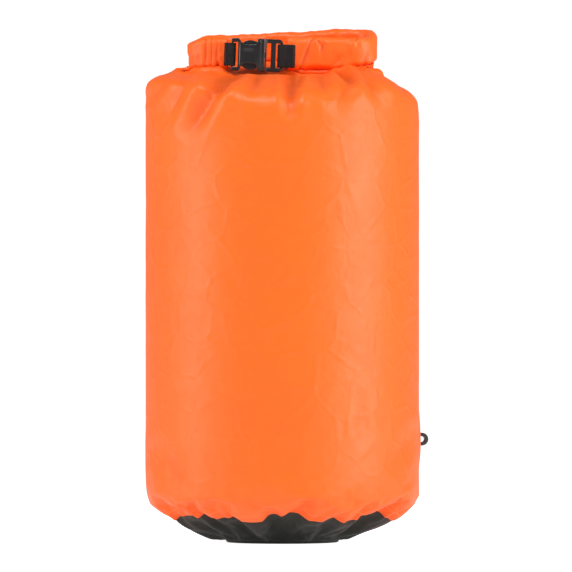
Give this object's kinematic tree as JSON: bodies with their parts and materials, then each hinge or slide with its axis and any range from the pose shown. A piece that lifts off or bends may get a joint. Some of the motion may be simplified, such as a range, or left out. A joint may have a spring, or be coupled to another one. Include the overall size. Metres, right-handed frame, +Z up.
{
  "type": "roll-top dry bag",
  "caption": "Round roll-top dry bag with a dark base; its rolled mouth is held in a loop by a side-release buckle, and a screw valve low on the side lets air out.",
  "frame": {"origin": "centre of the base's resting face, on the surface the bag stands on", "axes": "+Z up along the tube's axis, +X to the viewer's right, -Y towards the front, where the buckle is"},
  "size_m": [0.248, 0.24, 0.4493],
  "materials": {
    "orange_fabric": "coated ripstop, low sheen",
    "dark_fabric": "heavier coated fabric, dull",
    "seam_tape": "translucent welded tape",
    "strap": "woven webbing",
    "thread": "sewing thread",
    "stiff_strip": "flexible plastic strip",
    "buckle_plastic": "fine moulded texture",
    "valve_plastic": "moulded, slightly satin",
    "soft_flange": "soft weldable plastic",
    "seal_rubber": "soft rubber"
  },
  "bodies": {
    "bag": {"body_shell": "orange_fabric", "base_panel": "dark_fabric", "base_seam_tape": "seam_tape", "side_seam_tape": "seam_tape", "rolled_mouth": "orange_fabric", "mouth_stiffener": "stiff_strip", "buckle_socket": "buckle_plastic", "strap_tab_left": "strap", "tab_stitching_left": "thread", "valve_flange": "soft_flange", "valve_seat": "valve_plastic", "valve_guide": "valve_plastic"},
    "plug_side": {"buckle_plug": "buckle_plastic", "rolled_mouth_right_arm": "orange_fabric", "mouth_stiffener_right_arm": "stiff_strip", "strap_tab_right": "strap", "tab_stitching_right": "thread"},
    "upper_prong": {"upper_prong": "buckle_plastic"},
    "lower_prong": {"lower_prong": "buckle_plastic"},
    "valve_washer": {"valve_seal": "seal_rubber"},
    "valve_knob": {"valve_knob": "valve_plastic", "valve_stem": "valve_plastic", "valve_clip": "valve_plastic"}
  },
  "joints": [
    {"name": "plug_release", "type": "slide", "parent": "bag", "child": "plug_side", "axis": [0.9994, 0, -0.0349], "range_m": [0, 0.022], "deforming": ["upper_prong", "lower_prong"]},
    {"name": "upper_prong_squeeze", "type": "hinge", "parent": "plug_side", "child": "upper_prong", "pos_m": [-0.01505, -0.0305, 0.43164], "axis": [0, -1, 0], "range_deg": [0, 10], "stiffness_Nm_per_rad": 0.2},
    {"name": "lower_prong_squeeze", "type": "hinge", "parent": "plug_side", "child": "lower_prong", "pos_m": [-0.01559, -0.0305, 0.41625], "axis": [0, 1, 0], "range_deg": [0, 10], "stiffness_Nm_per_rad": 0.2},
    {"name": "valve_lift", "type": "slide", "parent": "bag", "child": "valve_washer", "axis": [0.9781, 0.2079, 0], "range_m": [0, 0.002]},
    {"name": "valve_turn", "type": "hinge", "parent": "valve_washer", "child": "valve_knob", "pos_m": [0.11738, 0.02495, 0.0895], "axis": [0.9781, 0.2079, 0], "range_deg": [0, 180]}
  ],
  "couplings": [
    {"joint": "valve_lift", "follows": "valve_turn", "m_per_rad": 0.00063662}
  ]
}
